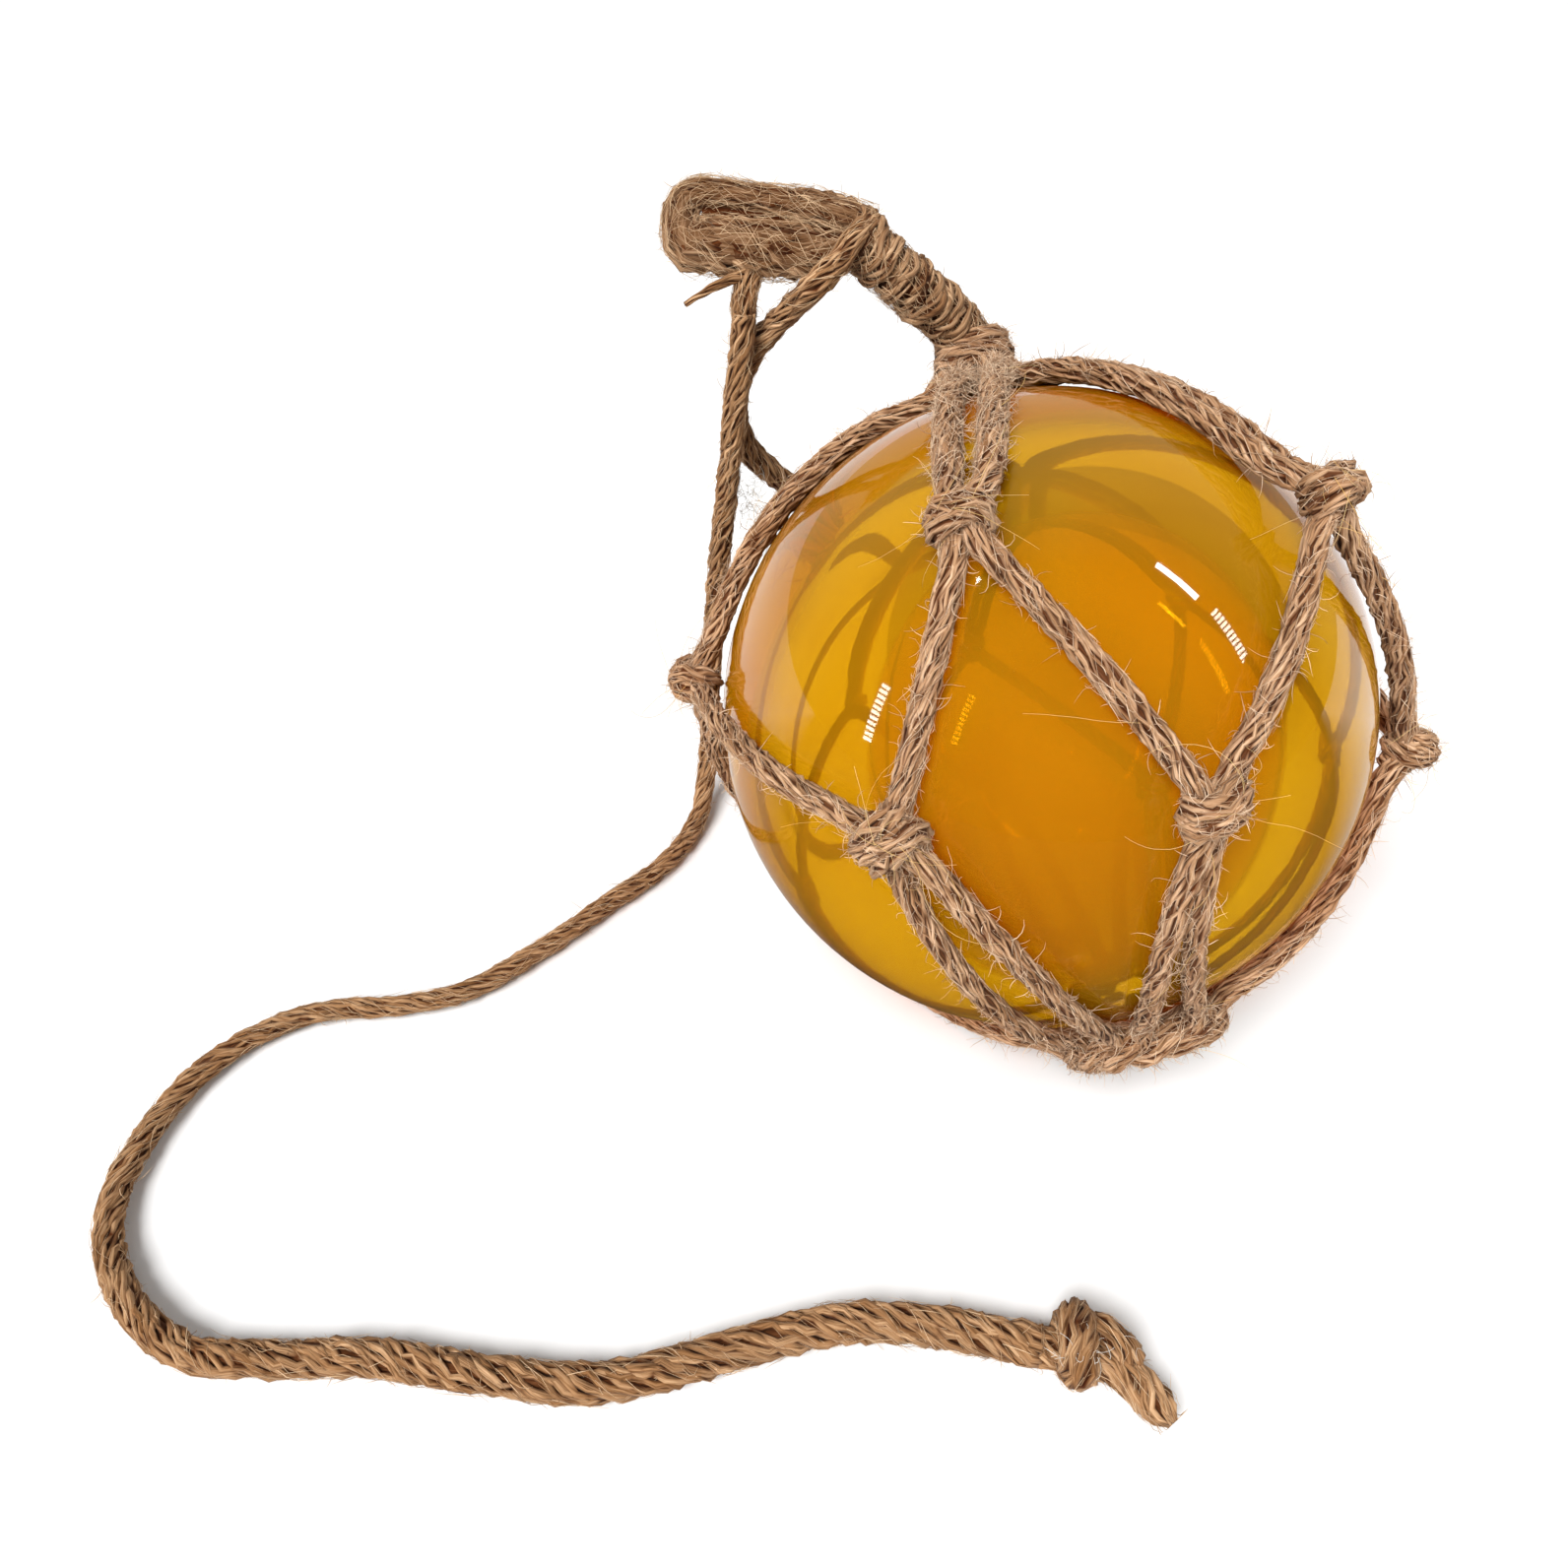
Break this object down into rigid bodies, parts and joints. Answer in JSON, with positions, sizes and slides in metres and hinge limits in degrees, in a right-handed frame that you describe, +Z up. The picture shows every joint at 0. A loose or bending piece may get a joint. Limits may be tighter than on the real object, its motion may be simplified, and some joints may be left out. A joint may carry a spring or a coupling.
{
  "type": "glass float ball",
  "caption": "Round amber glass fishing float in a knotted jute net, with a bound neck, a hanging eye and a long tail cord that ends in a knot.",
  "frame": {"origin": "middle of the small flat under the glass ball, on the table that the float lies on", "axes": "+Z up from the table, -Y towards the side that the bottom of the net faces, -X towards the eye and the tail cord"},
  "size_m": [0.205, 0.1466, 0.1148],
  "materials": {
    "amber_glass": "clear amber glass, glossy, with faint streaks and small bubbles",
    "net_twine": "hairy greyish tan jute twine",
    "tan_cord": "laid orange tan jute cord, less hairy than the net"
  },
  "bodies": {
    "root": {"glass_ball": "amber_glass", "top_gather": "net_twine", "bottom_gather": "net_twine", "upper_knot_1": "net_twine", "lower_knot_1": "net_twine", "upper_knot_2": "net_twine", "lower_knot_2": "net_twine", "upper_knot_3": "net_twine", "lower_knot_3": "net_twine", "upper_knot_4": "net_twine", "lower_knot_4": "net_twine", "upper_knot_5": "net_twine", "lower_knot_5": "net_twine", "upper_strand_1a": "net_twine", "upper_strand_1b": "net_twine", "middle_strand_1a": "net_twine", "middle_strand_1b": "net_twine", "lower_strand_1a": "net_twine", "lower_strand_1b": "net_twine", "upper_strand_2a": "net_twine", "upper_strand_2b": "net_twine", "middle_strand_2a": "net_twine", "middle_strand_2b": "net_twine", "lower_strand_2a": "net_twine", "lower_strand_2b": "net_twine", "upper_strand_3a": "net_twine", "upper_strand_3b": "net_twine", "middle_strand_3a": "net_twine", "middle_strand_3b": "net_twine", "lower_strand_3a": "net_twine", "lower_strand_3b": "net_twine", "upper_strand_4a": "net_twine", "upper_strand_4b": "net_twine", "middle_strand_4a": "net_twine", "middle_strand_4b": "net_twine", "lower_strand_4a": "net_twine", "lower_strand_4b": "net_twine", "upper_strand_5a": "net_twine", "upper_strand_5b": "net_twine", "middle_strand_5a": "net_twine", "middle_strand_5b": "net_twine", "lower_strand_5a": "net_twine", "lower_strand_5b": "net_twine", "served_neck": "tan_cord", "hanging_eye": "tan_cord", "tail_hitch": "tan_cord", "side_cord": "tan_cord", "tail_cord": "tan_cord", "end_knot": "tan_cord"}
  },
  "joints": []
}
